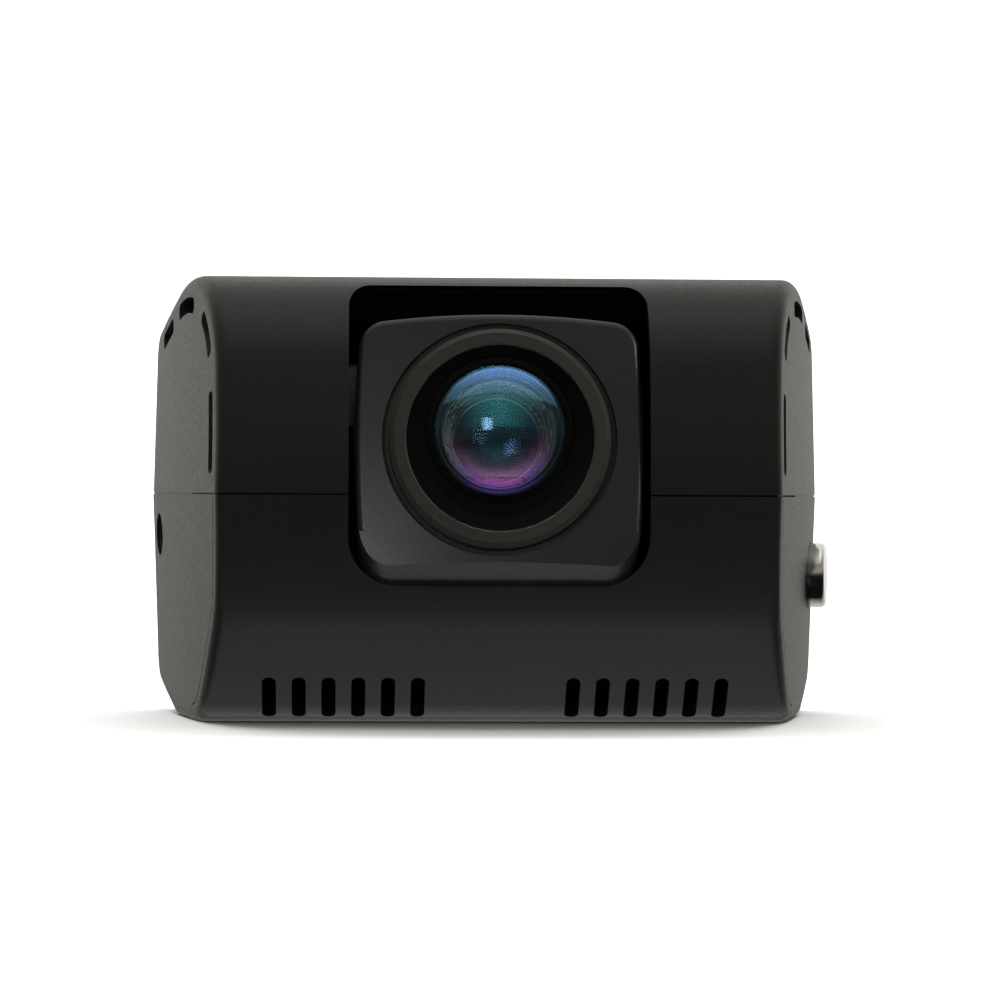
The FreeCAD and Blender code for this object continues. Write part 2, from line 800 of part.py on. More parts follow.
rail_block = roof_box(
    "rail_block", -size("rail_width") / 2, -size("rail_length") / 2, -2.9,
    ("rail_width", "rail_length", "2.8"),
)
rail_mouth = roof_box("rail_mouth", -5, -4, -1.3, ("10", "rail_length", "4"))
rail_under = roof_box("rail_under", -7.2, -4, -2.3, ("14.4", "rail_length", "1.3"))
keep(cut("bracket_rail", rail_block, rail_mouth, rail_under), "bracket_rail")

# ---------------------------------------------------------------- lens cradle and shroud

cradle_room = profile_block("cradle_room", "wall_depth + 0.4")
cradle_sides = common(
    "cradle_sides", cradle_room,
    fuse(
        "cradle_slabs",
        box("cradle_slab_right", ("13.75", "-13.6", "8.1"), ("cradle_wall", "14.6", "29")),
        box(
            "cradle_slab_left", ("-13.75 - cradle_wall", "-13.6", "8.1"),
            ("cradle_wall", "14.6", "29"),
        ),
    ),
)
cradle_web = box("cradle_web", ("-14.9", "-9", "8.1"), ("29.8", "10", "1.2"))
tabs = []
for i, (across, back) in enumerate(BOSS_SPOTS):
    low = ("14", f"{back} - 2", "32.6")
    tab = box(f"cradle_tab_{i}", low, ("5.4", "4", "1.3"))
    tabs += both_sides(f"cradle_tab_{i}", tab)
tab_holes = []
for i, (across, back) in enumerate(BOSS_SPOTS):
    hole = cylinder(f"tab_hole_{i}", (across, back, "30"), "0.95", "6")
    tab_holes += both_sides(f"tab_hole_{i}", hole)
pin_way = cylinder(
    "pin_way", ("-20", "pivot_back", "pivot_up"), "pin_size / 2 + pin_play", "40", X_AXIS
)
keep(
    cut("lens_cradle", fuse("cradle_whole", cradle_sides, cradle_web, *tabs), pin_way, *tab_holes),
    "lens_cradle",
)

shroud_start, shroud_end = 105, 137


def shroud_profile():
    """A curved wall about the pivot that runs up to the roof behind the window."""
    centre = V(0, size("pivot_back"), size("pivot_up"))

    def spot(radius, degrees):
        return centre - V(0, math.cos(math.radians(degrees)), -math.sin(math.radians(degrees))) * radius

    inner, outer = 12.95, 14
    middle = (shroud_start + shroud_end) / 2
    first = spot(inner, shroud_start)
    last = spot(outer, shroud_start)
    roof = size("window_top") - 0.6
    edges = [
        Part.Arc(first, spot(inner, middle), spot(inner, shroud_end)).toShape(),
        Part.LineSegment(spot(inner, shroud_end), spot(outer, shroud_end)).toShape(),
        Part.Arc(spot(outer, shroud_end), spot(outer, middle), last).toShape(),
        Part.LineSegment(last, V(0, last.y, roof)).toShape(),
        Part.LineSegment(V(0, last.y, roof), V(0, first.y, roof)).toShape(),
        Part.LineSegment(V(0, first.y, roof), first).toShape(),
    ]
    return Part.Wire(edges)


keep(
    put(
        extrude("recess_shroud", curve("shroud_outline", shroud_profile()), X_AXIS, "27.3"),
        ("-13.65", "0", "0"),
    ),
    "recess_shroud",
)

washer = cut(
    "washer",
    cylinder("washer_disc", ("13.2", "pivot_back", "pivot_up"), "2.7", "0.45", X_AXIS),
    cylinder("washer_hole", ("13", "pivot_back", "pivot_up"), "pin_size / 2 + 0.2", "2", X_AXIS),
)
keep(group("friction_washers", *both_sides("washer", washer)), "friction_washers")

# ---------------------------------------------------------------- the tilting lens unit
# Its own frame: X across, Y up and Z out along the lens axis, with the pivot at the origin.

lens_turn = FreeCAD.Rotation(X_AXIS, 90 - size("rest_tilt"))
LENS_SPOT = ("0", "pivot_back", "pivot_up")


def on_lens(item, node):
    """Puts a piece made in the lens unit's own frame at its rest tilt."""
    return keep(put(item, LENS_SPOT, lens_turn), node)


def on_optic(item, node):
    """Puts a piece of the optics on their axis, which runs a little above the ring's."""
    spot = V(*(size(part) for part in LENS_SPOT)) + lens_turn.multVec(V(0, size("optic_rise"), 0))
    item.Placement = FreeCAD.Placement(spot, lens_turn)
    return keep(item, node)


def lens_box(node, middle, extent):
    """A plain block in the lens unit's own frame."""
    return on_lens(group(node, centred_box(node + "_block", middle, extent)), node)


def block_outline():
    """The lens block from the front: bowed top and sides, rounded corners."""
    half = size("block_half")
    top = size("block_top")
    bottom = -size("block_bottom")
    corners = [V(half, bottom, 0), V(half, top, 0), V(-half, top, 0), V(-half, bottom, 0)]
    bows = [size("block_bow"), size("block_arch"), size("block_bow"), 0.06]
    centre = V(0, (top + bottom) / 2, 0)
    edges = []
    for i, start in enumerate(corners):
        end = corners[(i + 1) % 4]
        middle = (start + end) * 0.5
        out = (middle - centre).normalize()
        edges.append(Part.Arc(start, middle + out * bows[i], end).toShape())
    return Part.Wire(edges)


def along_lens(edge):
    box_of = edge.BoundBox
    return box_of.XLength < 0.5 and box_of.YLength < 0.5 and box_of.ZLength > 5


block_blank = put(
    extrude("block_blank", curve("block_wire", block_outline()), Z_AXIS, "20"), ("0", "0", "-5")
)
block_round = rounded("block_round", block_blank, "2.6", along_lens)
dome = doc.addObject("Part::Sphere", "dome")
bind(dome, Radius="dome_radius")
put(dome, ("0", "0", "dome_top - dome_radius"))
block_domed = common("block_domed", block_round, dome)


def on_face_rim(edge):
    return edge.BoundBox.ZMin > 8


block_soft = rounded("block_soft", block_domed, "0.7", on_face_rim)
block_room = centred_box("block_room", ("0", "-1.05", "-0.5"), ("23.2", "22", "16"))
drum_skin = cut(
    "drum_skin",
    round_drum("drum_outer", ("0", "0"), "drum_radius", "lip_half", "lip_corner"),
    cylinder(
        "drum_inner", ("1.3 - lip_half", "0", "0"), "drum_radius - 1.3", "2 * lip_half - 2.6", X_AXIS
    ),
)


LIP_SPAN = (-42, -84)


def lip_sector():
    """The part of the drum that shows under the face, in the plane square to the pivot."""
    far = 22
    tips = [V(0, far * math.sin(a), far * math.cos(a)) for a in map(math.radians, LIP_SPAN)]
    return Part.makePolygon([V(), *tips, V()])


lip_wedge = put(
    extrude("lip_wedge", curve("lip_wire", lip_sector()), X_AXIS, "30"), ("-15", "0", "0")
)
lip = common("lip", common("lip_strip", drum_skin, lip_wedge), dome)
under_cut = box("under_cut", ("-15", "-12", "-6"), ("30", "3.4", "13.5"))
block_shell = cut("block_shell", block_soft, block_room, under_cut)
HOLDER_CORNERS = [
    ("left_low", ("-9.6", "-6.6")),
    ("left_high", ("-9.6", "6.6")),
    ("right_low", ("9.6", "-6.6")),
    ("right_high", ("9.6", "6.6")),
]
holder_bosses = []
holder_holes = []
for name, spot in HOLDER_CORNERS:
    holder_bosses.append(cylinder(f"boss_{name}", (*spot, "-1"), "1.7", "8.8"))
    holder_holes.append(cylinder(f"boss_hole_{name}", (*spot, "-2"), "0.7", "6"))
lens_way = cylinder("lens_way", ("0", "optic_rise", "-8"), "8.45", "30")
groove = cut(
    "groove",
    cylinder("groove_disc", ("0", "0", "8.6"), "groove_outer / 2", "5"),
    cylinder("groove_core", ("0", "0", "8"), "ring_outer / 2 + 0.03", "8"),
)
ring_seat = cylinder("ring_seat", ("0", "0", "8.1"), "ring_outer / 2 + 0.03", "5")
pin_hole = cylinder("pin_hole", ("-20", "0", "0"), "pin_size / 2", "40", X_AXIS)
on_lens(
    cut(
        "lens_carriage", fuse("carriage_whole", block_shell, lip, *holder_bosses),
        lens_way, groove, ring_seat, pin_hole, *holder_holes,
    ),
    "lens_carriage",
)

pins = [
    cylinder("pivot_pin_right", ("11.8", "0", "0"), "pin_size / 2", "2.95", X_AXIS),
    cylinder("pivot_pin_left", ("-14.75", "0", "0"), "pin_size / 2", "2.95", X_AXIS),
]
on_lens(group("pivot_pins", *pins), "pivot_pins")

on_lens(
    lathe("lens_trim_ring", [
        ("ring_inner / 2", "8.15"),
        ("ring_outer / 2", "8.15"),
        ("ring_outer / 2", "ring_front - 0.45"),
        ("ring_outer / 2 - 0.45", "ring_front"),
        ("ring_inner / 2 + 0.15", "ring_front"),
        ("ring_inner / 2", "ring_front - 0.15"),
    ]),
    "lens_trim_ring",
)
on_optic(
    lathe("lens_barrel", [
        ("5.15", "-5"),
        ("7", "-5"),
        ("7", "4.4"),
        ("8.3", "4.4"),
        ("8.3", "8"),
        ("6.7", "8"),
        ("6.7", "glass_rim"),
        ("glass_size / 2 + 0.05", "glass_rim"),
        ("glass_size / 2 + 0.05", "8.15"),
        ("5.15", "8.15"),
    ]),
    "lens_barrel",
)
on_optic(
    lathe("lens_retainer", [
        ("glass_size / 2 - 0.08", "glass_rim + 0.03"),
        ("6.65", "glass_rim + 0.03"),
        ("6.65", "glass_rim + 0.2"),
        ("glass_size / 2 + 0.1", "glass_rim + 0.3"),
    ]),
    "lens_retainer",
)
bezel_disc = lathe("bezel_disc", [
    ("0", "8.8"),
    ("ring_inner / 2 - 0.05", "8.8"),
    ("ring_inner / 2 - 0.05", "ring_front - 0.3"),
    ("7.2", "glass_rim + 0.1"),
    ("0", "glass_rim + 0.1"),
])
bezel_way = cylinder("bezel_way", ("0", "optic_rise", "5"), "6.75", "8")
on_lens(group("lens_bezel", cut("bezel_shape", bezel_disc, bezel_way)), "lens_bezel")


def lens_element(node, radius, low, high, front_sag, rear_sag, land=0.0):
    """A turned lens from low to high at its rim; a positive sag bulges outwards."""
    faces = []
    for height, sag, direction in ((high, front_sag, 1), (low, rear_sag, -1)):
        clear = radius - land
        bend = (clear ** 2 + sag ** 2) / (2 * abs(sag))
        top = height + direction * sag
        middle_drop = bend - math.sqrt(bend ** 2 - (clear / 2) ** 2)
        middle = V(clear / 2, 0, top - direction * math.copysign(middle_drop, sag))
        faces.append((V(0, 0, top), middle, V(clear, 0, height)))
    (front_top, front_mid, front_rim), (rear_top, rear_mid, rear_rim) = faces
    edges = [
        Part.LineSegment(rear_top, front_top).toShape(),
        Part.Arc(front_top, front_mid, front_rim).toShape(),
    ]
    corner_points = [front_rim, V(radius, 0, high), V(radius, 0, low), rear_rim]
    for start, end in zip(corner_points, corner_points[1:]):
        if start.distanceToPoint(end) > 0.001:
            edges.append(Part.LineSegment(start, end).toShape())
    edges.append(Part.Arc(rear_rim, rear_mid, rear_top).toShape())
    turned = doc.addObject("Part::Revolution", node)
    turned.Source = curve(node + "_wire", Part.Wire(edges))
    turned.Axis = Z_AXIS
    turned.Angle = 360
    turned.Solid = True
    return on_optic(turned, node)


glass_front = size("glass_rim")
lens_element("front_lens", size("glass_size / 2"), glass_front - 1.9, glass_front, 1.35, -1.7, 0.1)
lens_element("second_lens", 5.1, 1.9, 2.9, 0.5, 0.3, 0.6)
lens_element("third_lens", 5.1, -1.6, 0.9, -0.5, 0.4, 0.8)
lens_element("rear_lens", 5.1, -4.6, -2.9, 0.5, 0.3, 1.2)
on_optic(
    lathe("lens_spacer", [
        ("4.1", "3.05"),
        ("5.1", "3.05"),
        ("5.1", "8.1"),
        ("4.95", "8.1"),
        ("4.95", "7.5"),
        ("4.75", "7.5"),
        ("4.75", "6.6"),
        ("4.55", "6.6"),
        ("4.55", "5.6"),
        ("4.3", "5.6"),
        ("4.3", "4.4"),
        ("4.1", "4.4"),
    ]),
    "lens_spacer",
)
on_optic(
    lathe("aperture_plate", [("1.7", "1.3"), ("5.1", "1"), ("5.1", "1.5"), ("1.7", "1.5")]),
    "aperture_plate",
)

holder_blank = centred_box("holder_blank", ("0", "0.6", "-5.2"), ("18", "15.6", "8"))
holder_flange = centred_box("holder_flange", ("0", "0", "-1.75"), ("22.6", "16.8", "1.3"))
holder_bore = cylinder("holder_bore", ("0", "optic_rise", "-7"), "7.03", "12")
filter_seat = centred_box("filter_seat", ("0", "optic_rise", "-8"), ("9", "8", "4"))
flange_holes = [
    cylinder(f"flange_hole_{name}", (*spot, "-4"), "0.75", "5") for name, spot in HOLDER_CORNERS
]
corner_reliefs = [
    centred_box(f"relief_{name}", (*spot, "-7.2"), ("4.4", "4.4", "9.6"))
    for name, spot in HOLDER_CORNERS
]
on_lens(
    cut(
        "lens_holder",
        fuse("holder_whole", cut("holder_core", holder_blank, *corner_reliefs), holder_flange),
        holder_bore, filter_seat, *flange_holes,
    ),
    "lens_holder",
)
holder_screws = []
for name, spot in HOLDER_CORNERS:
    shank = cylinder(f"holder_shank_{name}", (*spot, "-2.5"), "0.65", "5.5")
    head = cylinder(f"holder_head_{name}", (*spot, "-3.3"), "1.3", "0.9")
    holder_screws.append(fuse(f"holder_screw_{name}", shank, head))
on_lens(group("holder_screws", *holder_screws), "holder_screws")
lens_box("ir_filter", ("0", "optic_rise", "-6.8"), ("8.8", "7.8", "0.4"))
lens_box("image_sensor", ("0", "optic_rise", "-8.6"), ("8.4", "7.4", "1.2"))
lens_box("sensor_board", ("0", "0.6", "-9.75"), ("19", "14.4", "1"))


# ---------------------------------------------------------------- ribbon and screws


RIBBON_TURNS = [(1.3, -80), (30, -14), (1.1, 78), (2.6, 16)]


def ribbon_profile(half):
    """A thin flex strip from the sensor board's back, down in a loop to the main board."""
    start = V(0, 4.75, 22.6)
    back = size("board_back - 0.02")
    sides = []
    for shift in (half, -half):
        turns = [(r - shift * (1 if d > 0 else -1), d) for r, d in RIBBON_TURNS]
        sides.append(run_arcs(start + V(0, 0, shift), 0, turns))
    (over, over_end, _), (under, under_end, _) = sides
    over_tip = V(0, back, over_end.z)
    under_tip = V(0, back, under_end.z)
    edges = over + under
    edges.append(Part.LineSegment(over_end, over_tip).toShape())
    edges.append(Part.LineSegment(over_tip, under_tip).toShape())
    edges.append(Part.LineSegment(under_tip, under_end).toShape())
    edges.append(Part.LineSegment(start - V(0, 0, half), start + V(0, 0, half)).toShape())
    return Part.Wire(Part.__sortEdges__(edges))


ribbon = extrude("sensor_ribbon", curve("ribbon_outline", ribbon_profile(0.12)), X_AXIS, "8")
keep(put(ribbon, ("-4", "0", "0")), "sensor_ribbon")


def screw(name, spot, direction, shank, length, head, head_height):
    """A screw whose head starts at the spot; the direction points to its tip."""
    body = lathe(name, [
        ("0", "0"),
        (head, "0"),
        (head, head_height),
        (shank, head_height),
        (shank, f"{head_height} + {length} - 0.4"),
        ("0", f"{head_height} + {length}"),
    ])
    return put(body, spot, FreeCAD.Rotation(Z_AXIS, direction))


case_screw_pair = []
for side in ("", "-"):
    name = "case_screw_left" if side else "case_screw_right"
    spot = (f"{side}{CASE_SCREW_SPOT[0]}", CASE_SCREW_SPOT[1], "5.75")
    case_screw_pair.append(screw(name, spot, Z_AXIS, "0.8", "20", "1.65", "1.2"))
keep(group("case_screws", *case_screw_pair), "case_screws")

cradle_screws = []
for i, (across, back) in enumerate(BOSS_SPOTS):
    for side in ("", "-"):
        name = f"cradle_screw_{i}_{'left' if side else 'right'}"
        spot = (f"{side}{across}", back, "31.6")
        cradle_screws.append(screw(name, spot, Z_AXIS, "0.8", "4.6", "1.5", "1"))
keep(group("cradle_screws", *cradle_screws), "cradle_screws")

board_screws = []
for i, (across, height) in enumerate(STANDOFFS):
    spot = (across, "board_back - 0.9", height)
    board_screws.append(screw(f"board_screw_{i}", spot, Y_AXIS, "0.65", "4", "1.3", "0.9"))
keep(group("board_screws", *board_screws), "board_screws")

# ---------------------------------------------------------------- checks and export

doc.recompute()
failed = [item.Name for item in doc.Objects if {"Invalid", "Error"} & set(item.State)]
if failed:
    raise RuntimeError(f"objects that did not build: {failed}")
os.makedirs("parts", exist_ok=True)
for part in parts:
    shape = part.Shape
    if shape.isNull() or not shape.isValid() or not shape.Solids:
        raise RuntimeError(f"{part.Label} is not a valid solid")
    print(f"{part.Label}: {shape.Volume:.1f} mm3, {len(shape.Solids)} solids")
    shape.exportStep(f"parts/{part.Label}.step")
print(f"{len(parts)} sub-parts")
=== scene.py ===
import json
import math

import bmesh
import bpy
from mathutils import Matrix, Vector


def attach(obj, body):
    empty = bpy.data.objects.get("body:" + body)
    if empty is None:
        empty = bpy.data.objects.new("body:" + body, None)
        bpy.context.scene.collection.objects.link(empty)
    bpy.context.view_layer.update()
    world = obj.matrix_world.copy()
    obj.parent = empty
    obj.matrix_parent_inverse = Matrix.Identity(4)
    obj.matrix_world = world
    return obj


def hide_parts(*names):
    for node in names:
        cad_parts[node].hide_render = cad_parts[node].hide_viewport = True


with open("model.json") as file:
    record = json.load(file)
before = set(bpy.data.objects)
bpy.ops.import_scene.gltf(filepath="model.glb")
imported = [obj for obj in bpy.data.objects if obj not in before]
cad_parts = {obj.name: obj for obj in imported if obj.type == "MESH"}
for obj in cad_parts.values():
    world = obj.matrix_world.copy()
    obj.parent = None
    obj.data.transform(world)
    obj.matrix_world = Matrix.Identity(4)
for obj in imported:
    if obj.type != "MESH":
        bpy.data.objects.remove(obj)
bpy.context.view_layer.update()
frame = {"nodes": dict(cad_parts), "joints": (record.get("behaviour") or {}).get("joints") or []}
nodes = frame["nodes"]
joints = {joint["name"]: joint for joint in frame["joints"]}
scene = bpy.context.scene

MM = 0.001
REST_TILT = math.radians(8)
PIVOT = Vector(joints["lens_tilt"]["pos_m"])
LENS_AXIS = Vector((0, -math.cos(REST_TILT), math.sin(REST_TILT)))
LENS_UP = Vector((0, math.sin(REST_TILT), math.cos(REST_TILT)))
OPTIC_RISE = 0.84  # millimetres from the pivot up to the optical axis
SPOKES = 128  # round each turned piece
SHARP_ANGLE = math.radians(28)


def on_lens(across, up, ahead):
    """A point of the lens unit: millimetres across, up and ahead of the pivot."""
    return PIVOT + (Vector((1, 0, 0)) * across + LENS_UP * up + LENS_AXIS * ahead) * MM


# ---------------------------------------------------------------- material helpers


def new_material(name):
    material = bpy.data.materials.new(name)
    material.use_nodes = True
    tree = material.node_tree
    shader = tree.nodes["Principled BSDF"]
    return material, tree, shader


def node(tree, kind, **settings):
    item = tree.nodes.new(kind)
    for name, value in settings.items():
        if hasattr(item, name) and name not in item.inputs:
            setattr(item, name, value)
        else:
            item.inputs[name].default_value = value
    return item


def link(tree, source, target):
    tree.links.new(source, target)


def noise(tree, scale, detail=2.0, roughness=0.5, stretch=None):
    """A noise texture in object space, so that it is the same size on every piece."""
    place = tree.nodes.new("ShaderNodeTexCoord")
    texture = node(tree, "ShaderNodeTexNoise", Scale=scale, Detail=detail, Roughness=roughness)
    if stretch:
        mapping = node(tree, "ShaderNodeMapping", Scale=stretch)
        link(tree, place.outputs["Object"], mapping.inputs["Vector"])
        link(tree, mapping.outputs["Vector"], texture.inputs["Vector"])
    else:
        link(tree, place.outputs["Object"], texture.inputs["Vector"])
    return texture.outputs["Fac"]


def ramp(tree, source, stops):
    item = tree.nodes.new("ShaderNodeValToRGB")
    bar = item.color_ramp.elements
    while len(bar) < len(stops):
        bar.new(0.5)
    for element, (spot, colour) in zip(bar, stops):
        element.position = spot
        element.color = (*colour, 1)
    link(tree, source, item.inputs["Fac"])
    return item.outputs["Color"]


def between(tree, source, low, high, span=(0.3, 0.7)):
    item = node(tree, "ShaderNodeMapRange")
    item.inputs["From Min"].default_value = span[0]
    item.inputs["From Max"].default_value = span[1]
    item.inputs["To Min"].default_value = low
    item.inputs["To Max"].default_value = high
    link(tree, source, item.inputs["Value"])
    return item.outputs["Result"]


def bump(tree, shader, height, distance, strength=1.0):
    item = node(tree, "ShaderNodeBump", Distance=distance, Strength=strength)
    link(tree, height, item.inputs["Height"])
    link(tree, item.outputs["Normal"], shader.inputs["Normal"])


def grain_plastic(name, dark, light, rough, grain=2600, grain_depth=0.00002, specular=0.5):
    """Moulded plastic: a fine spark-eroded grain, faint blotches of tone and uneven gloss."""
    material, tree, shader = new_material(name)
    blotch = noise(tree, 60, detail=3)
    fine = noise(tree, grain, detail=2, roughness=0.6)
    link(tree, ramp(tree, blotch, [(0.3, dark), (0.7, light)]), shader.inputs["Base Color"])
    link(tree, between(tree, fine, rough[0], rough[1]), shader.inputs["Roughness"])
    shader.inputs["Specular IOR Level"].default_value = specular
    bump(tree, shader, fine, grain_depth, 0.6)
    return material


def metal(name, colour, rough, scale=900, stretch=(1, 1, 1), depth=0.000004, metallic=1.0):
    """Metal with fine streaks of tone and gloss; depth is the height of the streaks in metres."""
    material, tree, shader = new_material(name)
    streak = noise(tree, scale, detail=3, stretch=stretch)
    darker = tuple(c * 0.88 for c in colour)
    link(tree, ramp(tree, streak, [(0.35, darker), (0.65, colour)]), shader.inputs["Base Color"])
    link(tree, between(tree, streak, rough[0], rough[1]), shader.inputs["Roughness"])
    shader.inputs["Metallic"].default_value = metallic
    bump(tree, shader, streak, depth, 0.4)
    return material


def clear_glass(name, tint, rough=0.0, ior=1.5, mirror=(1, 1, 1), level=0.5):
    """Polished glass: mirror tints what it reflects, and level sets how much."""
    material, tree, shader = new_material(name)
    smear = noise(tree, 180, detail=3)
    link(tree, between(tree, smear, rough, rough + 0.015), shader.inputs["Roughness"])
    shader.inputs["Base Color"].default_value = (*tint, 1)
    shader.inputs["Transmission Weight"].default_value = 1.0
    shader.inputs["IOR"].default_value = ior
    shader.inputs["Specular Tint"].default_value = (*mirror, 1)
    shader.inputs["Specular IOR Level"].default_value = level
    return material


def emitting(name, dark, light, glow, strength):
    """A milky plastic that is lit from inside."""
    material, tree, shader = new_material(name)
    blotch = noise(tree, 90, detail=2)
    link(tree, ramp(tree, blotch, [(0.3, dark), (0.7, light)]), shader.inputs["Base Color"])
    shader.inputs["Emission Color"].default_value = (*glow, 1)
    shader.inputs["Emission Strength"].default_value = strength
    shader.inputs["Roughness"].default_value = 0.25
    return material


# ---------------------------------------------------------------- the materials

case_plastic = grain_plastic(
    "case_plastic", (0.0066, 0.0067, 0.0066), (0.0078, 0.0079, 0.0077), (0.38, 0.48), specular=0.42
)
rear_plastic = grain_plastic(
    "rear_plastic", (0.010, 0.010, 0.0105), (0.012, 0.012, 0.0125), (0.42, 0.52)
)
block_plastic = grain_plastic(
    "lens_block_plastic", (0.0062, 0.0063, 0.0063), (0.0074, 0.0075, 0.0075), (0.30, 0.37),
    grain_depth=0.00001,
)
inner_black = grain_plastic(
    "inner_black", (0.0035, 0.0035, 0.004), (0.005, 0.005, 0.0055), (0.6, 0.75), specular=0.15
)
cone_black = grain_plastic(
    "cone_black", (0.0012, 0.0012, 0.0013), (0.0018, 0.0018, 0.0019), (0.45, 0.55), specular=0.1
)
key_plastic = grain_plastic("key_plastic", (0.016, 0.016, 0.017), (0.02, 0.02, 0.021), (0.3, 0.38))
chip_plastic = grain_plastic(
    "chip_plastic", (0.012, 0.012, 0.012), (0.018, 0.018, 0.018), (0.5, 0.6)
)
card_plastic = grain_plastic(
    "card_plastic", (0.01, 0.01, 0.012), (0.014, 0.014, 0.016), (0.3, 0.4)
)
battery_wrap = grain_plastic(
    "battery_wrap", (0.006, 0.006, 0.007), (0.009, 0.009, 0.01), (0.4, 0.5), grain=500
)
ribbon_film = grain_plastic(
    "ribbon_film", (0.32, 0.13, 0.02), (0.42, 0.18, 0.03), (0.25, 0.35), grain=700
)
chrome = metal("button_chrome", (0.86, 0.85, 0.83), (0.05, 0.1))
ring_metal = metal(
    "ring_metal", (0.036, 0.039, 0.034), (0.42, 0.5), scale=1500, depth=0.000006, metallic=0.45
)
edge_metal = metal("edge_metal", (0.15, 0.15, 0.17), (0.3, 0.4), scale=1500)
spacer_metal = metal(
    "spacer_metal", (0.02, 0.022, 0.022), (0.25, 0.35), scale=1500, metallic=0.6
)
sink_metal = metal("sink_metal", (0.7, 0.7, 0.72), (0.3, 0.4))
socket_metal = metal("socket_metal", (0.6, 0.6, 0.6), (0.22, 0.34), stretch=(0.1, 1, 1))
screw_steel = metal("screw_steel", (0.1, 0.1, 0.105), (0.3, 0.42))
lens_glass = clear_glass("lens_glass", (1, 1, 1), ior=1.52, mirror=(0.3, 0.6, 1.0))
rear_face_glass = clear_glass("rear_face_glass", (1, 1, 1), ior=1.52, mirror=(0.1, 0.26, 0.26))
inner_glass = clear_glass(
    "inner_glass", (0.88, 0.92, 1.0), mirror=(0.05, 0.1, 0.17), level=0.12
)
filter_glass = clear_glass("filter_glass", (0.85, 0.45, 0.5), 0.01, mirror=(0.1, 0.2, 0.4))
light_guide = emitting(
    "light_guide", (0.3, 0.4, 0.32), (0.4, 0.5, 0.42), (0.1, 0.6, 0.2), 0.3
)


def screen_material():
    """A dark pane: near black, glossy, with a faint smear."""
    material, tree, shader = new_material("screen_pane")
    smear = noise(tree, 70, detail=4)
    tone = ramp(tree, smear, [(0.3, (0.004, 0.004, 0.005)), (0.7, (0.007, 0.007, 0.008))])
    link(tree, tone, shader.inputs["Base Color"])
    link(tree, between(tree, smear, 0.05, 0.12), shader.inputs["Roughness"])
    shader.inputs["Coat Weight"].default_value = 0.5
    return material


def board_material():
    """A green board with copper runs under the varnish."""
    material, tree, shader = new_material("board_green")
    place = tree.nodes.new("ShaderNodeTexCoord")
    runs = node(tree, "ShaderNodeTexBrick", Scale=420.0)
    runs.inputs["Color1"].default_value = (0.008, 0.07, 0.025, 1)
    runs.inputs["Color2"].default_value = (0.01, 0.09, 0.03, 1)
    runs.inputs["Mortar"].default_value = (0.03, 0.16, 0.05, 1)
    link(tree, place.outputs["Object"], runs.inputs["Vector"])
    link(tree, runs.outputs["Color"], shader.inputs["Base Color"])
    shader.inputs["Roughness"].default_value = 0.3
    bump(tree, shader, runs.outputs["Fac"], 0.00002, 0.3)
    return material


screen_pane = screen_material()
board_green = board_material()


def grey(level):
    return (level, level, level)


def from_optical_axis(tree):
    """The vector from the optical axis, level with the pivot, to the shaded point."""
    place = tree.nodes.new("ShaderNodeTexCoord")
    offset = node(tree, "ShaderNodeVectorMath", operation="SUBTRACT")
    link(tree, place.outputs["Object"], offset.inputs[0])
    offset.inputs[1].default_value = on_lens(0, OPTIC_RISE, 0)
    return offset.outputs["Vector"]


def height_on_lens(tree, reach):
    """0 to 1 up the lens's own vertical, from reach mm below the optical axis to reach above."""
    along = node(tree, "ShaderNodeVectorMath", operation="DOT_PRODUCT")
    link(tree, from_optical_axis(tree), along.inputs[0])
    along.inputs[1].default_value = LENS_UP
    return between(tree, along.outputs["Value"], 0, 1, (-reach * MM, reach * MM))


def radius_on_lens(tree, reach):
    """0 to 1 outwards from the optical axis, over reach mm."""
    apart = node(tree, "ShaderNodeVectorMath", operation="CROSS_PRODUCT")
    distance = node(tree, "ShaderNodeVectorMath", operation="LENGTH")
    link(tree, from_optical_axis(tree), apart.inputs[0])
    apart.inputs[1].default_value = LENS_AXIS
    link(tree, apart.outputs["Vector"], distance.inputs[0])
    return between(tree, distance.outputs["Value"], 0, 1, (0, reach * MM))


def coating_material():
    """A thin purple coating: a mirror that lets most light through, in rings of colour."""
    material, tree, shader = new_material("purple_coating")
    radius = radius_on_lens(tree, 5)
    link(tree, ramp(tree, radius, [
        (0.0, (0.5, 0.2, 0.6)), (0.55, (0.9, 0.1, 0.5)), (0.78, (1.0, 0.18, 0.6)),
        (0.9, (0.75, 0.08, 0.75)), (1.0, (0.4, 0.04, 1.0)),
    ]), shader.inputs["Base Color"])
    outward = ramp(tree, radius, [
        (0.35, grey(0.001)), (0.62, grey(0.04)), (0.8, grey(0.15)), (1.0, grey(0.16)),
    ])
    upward = ramp(tree, height_on_lens(tree, 5), [
        (0.0, grey(1)), (0.2, grey(0.85)), (0.42, grey(0.25)), (0.6, grey(0.03)),
    ])
    strength = node(tree, "ShaderNodeMath", operation="MULTIPLY")
    link(tree, outward, strength.inputs[0])
    link(tree, upward, strength.inputs[1])
    link(tree, strength.outputs["Value"], shader.inputs["Alpha"])
    shader.inputs["Metallic"].default_value = 1.0
    shader.inputs["Roughness"].default_value = 0.04
    return material


# ---------------------------------------------------------------- pieces made here


def add_object(name, build, material):
    """The object made from a bmesh, with one material."""
    mesh = bpy.data.meshes.new(name)
    build.to_mesh(mesh)
    build.free()
    mesh.materials.append(material)
    item = bpy.data.objects.new(name, mesh)
    scene.collection.objects.link(item)
    return item


